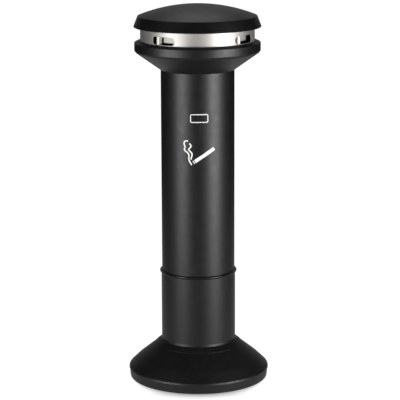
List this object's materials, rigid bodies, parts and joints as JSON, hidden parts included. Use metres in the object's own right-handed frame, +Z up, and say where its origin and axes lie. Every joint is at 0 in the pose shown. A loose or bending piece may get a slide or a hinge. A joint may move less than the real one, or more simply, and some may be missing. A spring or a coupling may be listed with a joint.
{
  "type": "ashtray bin",
  "caption": "Free-standing outdoor smokers' post: domed cap over a slotted steel band, flared neck, lift-off tube, conical weighted base and a removable inner canister.",
  "frame": {"origin": "centre of the footprint, on the ground", "axes": "+Z up the tube, -Y out of the side with the pictogram, +Y out of the key lock"},
  "size_m": [0.3983, 0.3984, 1.0637],
  "materials": {
    "black_powder_coat": "satin, finely textured",
    "gloss_black_trim": "gloss",
    "brushed_stainless": "brushed round the band",
    "galvanised_steel": "dull spangled zinc",
    "zinc_plated_steel": "bright zinc",
    "lock_chrome": "polished",
    "black_rubber": "matt",
    "black_plastic": "matt moulded",
    "concrete_ballast": "rough cast",
    "white_print": "printed film",
    "dark_badge": "gloss"
  },
  "bodies": {
    "base": {"base_shell": "black_powder_coat", "collar_ring": "black_powder_coat", "base_gasket": "black_rubber", "base_plate": "galvanised_steel", "base_screws": "zinc_plated_steel", "ballast_ring": "concrete_ballast", "socket_tube": "black_powder_coat", "lower_tube": "black_powder_coat", "tube_lip": "gloss_black_trim", "canister_rest": "black_plastic", "lock_housing": "lock_chrome", "lock_nut": "zinc_plated_steel"},
    "upper_body": {"upper_tube": "black_powder_coat", "foot_ring": "black_powder_coat", "lock_keeper": "zinc_plated_steel", "neck_bowl": "black_powder_coat", "ash_funnel": "black_powder_coat", "slotted_band": "brushed_stainless", "stub_ring": "brushed_stainless", "band_posts": "brushed_stainless", "post_bolts": "zinc_plated_steel", "cap_plate": "black_powder_coat", "cap_dome": "black_powder_coat", "smoking_symbol": "white_print", "badge_plate": "dark_badge", "badge_frame": "white_print"},
    "canister": {"canister_shell": "galvanised_steel", "canister_bottom": "galvanised_steel", "canister_rim": "galvanised_steel", "bail_ears": "galvanised_steel"},
    "bail": {"bail_wire": "zinc_plated_steel", "bail_grip": "black_plastic"},
    "lock": {"lock_barrel": "lock_chrome", "lock_cam": "zinc_plated_steel"}
  },
  "joints": [
    {"name": "body_lift", "type": "slide", "parent": "base", "child": "upper_body", "axis": [0, 0, 1], "range_m": [0, 0.7]},
    {"name": "canister_lift", "type": "slide", "parent": "base", "child": "canister", "axis": [0, 0, 1], "range_m": [0, 0.285]},
    {"name": "bail_swing", "type": "hinge", "parent": "canister", "child": "bail", "pos_m": [0, 0, 0.464], "axis": [-1, 0, 0], "range_deg": [0, 206]},
    {"name": "lock_turn", "type": "hinge", "parent": "base", "child": "lock", "pos_m": [0, 0.1, 0.135], "axis": [0, 1, 0], "range_deg": [0, 90]}
  ]
}
